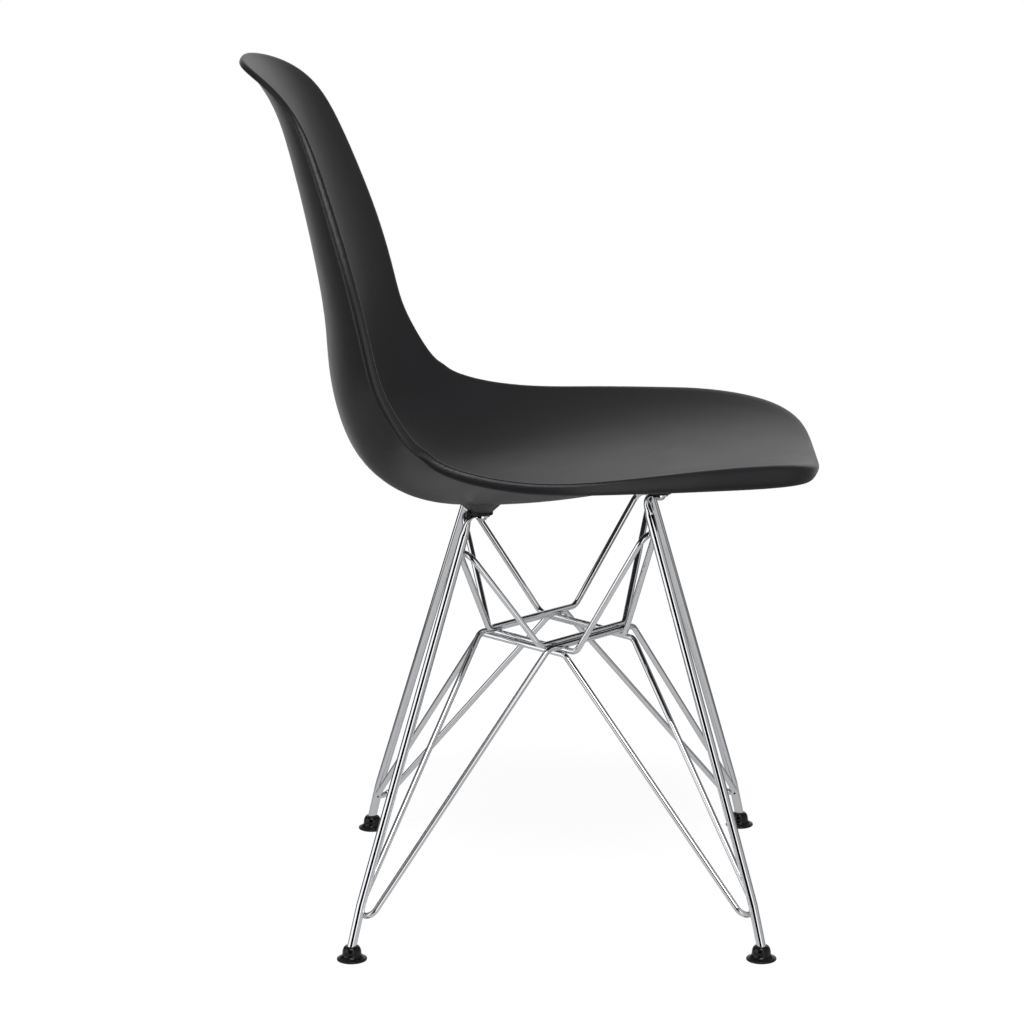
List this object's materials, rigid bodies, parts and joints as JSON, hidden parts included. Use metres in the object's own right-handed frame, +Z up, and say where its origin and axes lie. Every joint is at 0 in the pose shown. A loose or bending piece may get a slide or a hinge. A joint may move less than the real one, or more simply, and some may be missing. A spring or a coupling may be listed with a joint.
{
  "type": "shell chair",
  "caption": "Armless moulded plastic shell chair with a rolled rim, on four splayed chromed rod legs braced by crossed wire loops, with push-on foot caps.",
  "frame": {"origin": "on the floor, under the middle of the chair's bounding box", "axes": "+Z up, -Y the way the chair faces, +X the sitter's left"},
  "size_m": [0.4746, 0.549, 0.8323],
  "materials": {
    "shell_plastic": "through-coloured black polypropylene with a fine satin texture",
    "chrome": "bright chrome plating on drawn steel rod",
    "pad_rubber": "moulded black rubber",
    "insert_brass": "turned brass",
    "zinc_steel": "bright zinc-plated steel",
    "foot_plastic": "glossy black injection-moulded plastic"
  },
  "bodies": {
    "root": {"seat_shell": "shell_plastic", "leg_rear_right": "chrome", "spacer_pad_rear_right": "pad_rubber", "insert_rear_right": "insert_brass", "washer_rear_right": "zinc_steel", "screw_rear_right": "zinc_steel", "foot_rear_right": "foot_plastic", "leg_front_right": "chrome", "spacer_pad_front_right": "pad_rubber", "insert_front_right": "insert_brass", "washer_front_right": "zinc_steel", "screw_front_right": "zinc_steel", "foot_front_right": "foot_plastic", "leg_rear_left": "chrome", "spacer_pad_rear_left": "pad_rubber", "insert_rear_left": "insert_brass", "washer_rear_left": "zinc_steel", "screw_rear_left": "zinc_steel", "foot_rear_left": "foot_plastic", "leg_front_left": "chrome", "spacer_pad_front_left": "pad_rubber", "insert_front_left": "insert_brass", "washer_front_left": "zinc_steel", "screw_front_left": "zinc_steel", "foot_front_left": "foot_plastic", "loop_upper_rear_right": "chrome", "loop_lower_rear_right": "chrome", "loop_upper_rear_left": "chrome", "loop_lower_rear_left": "chrome"}
  },
  "joints": []
}
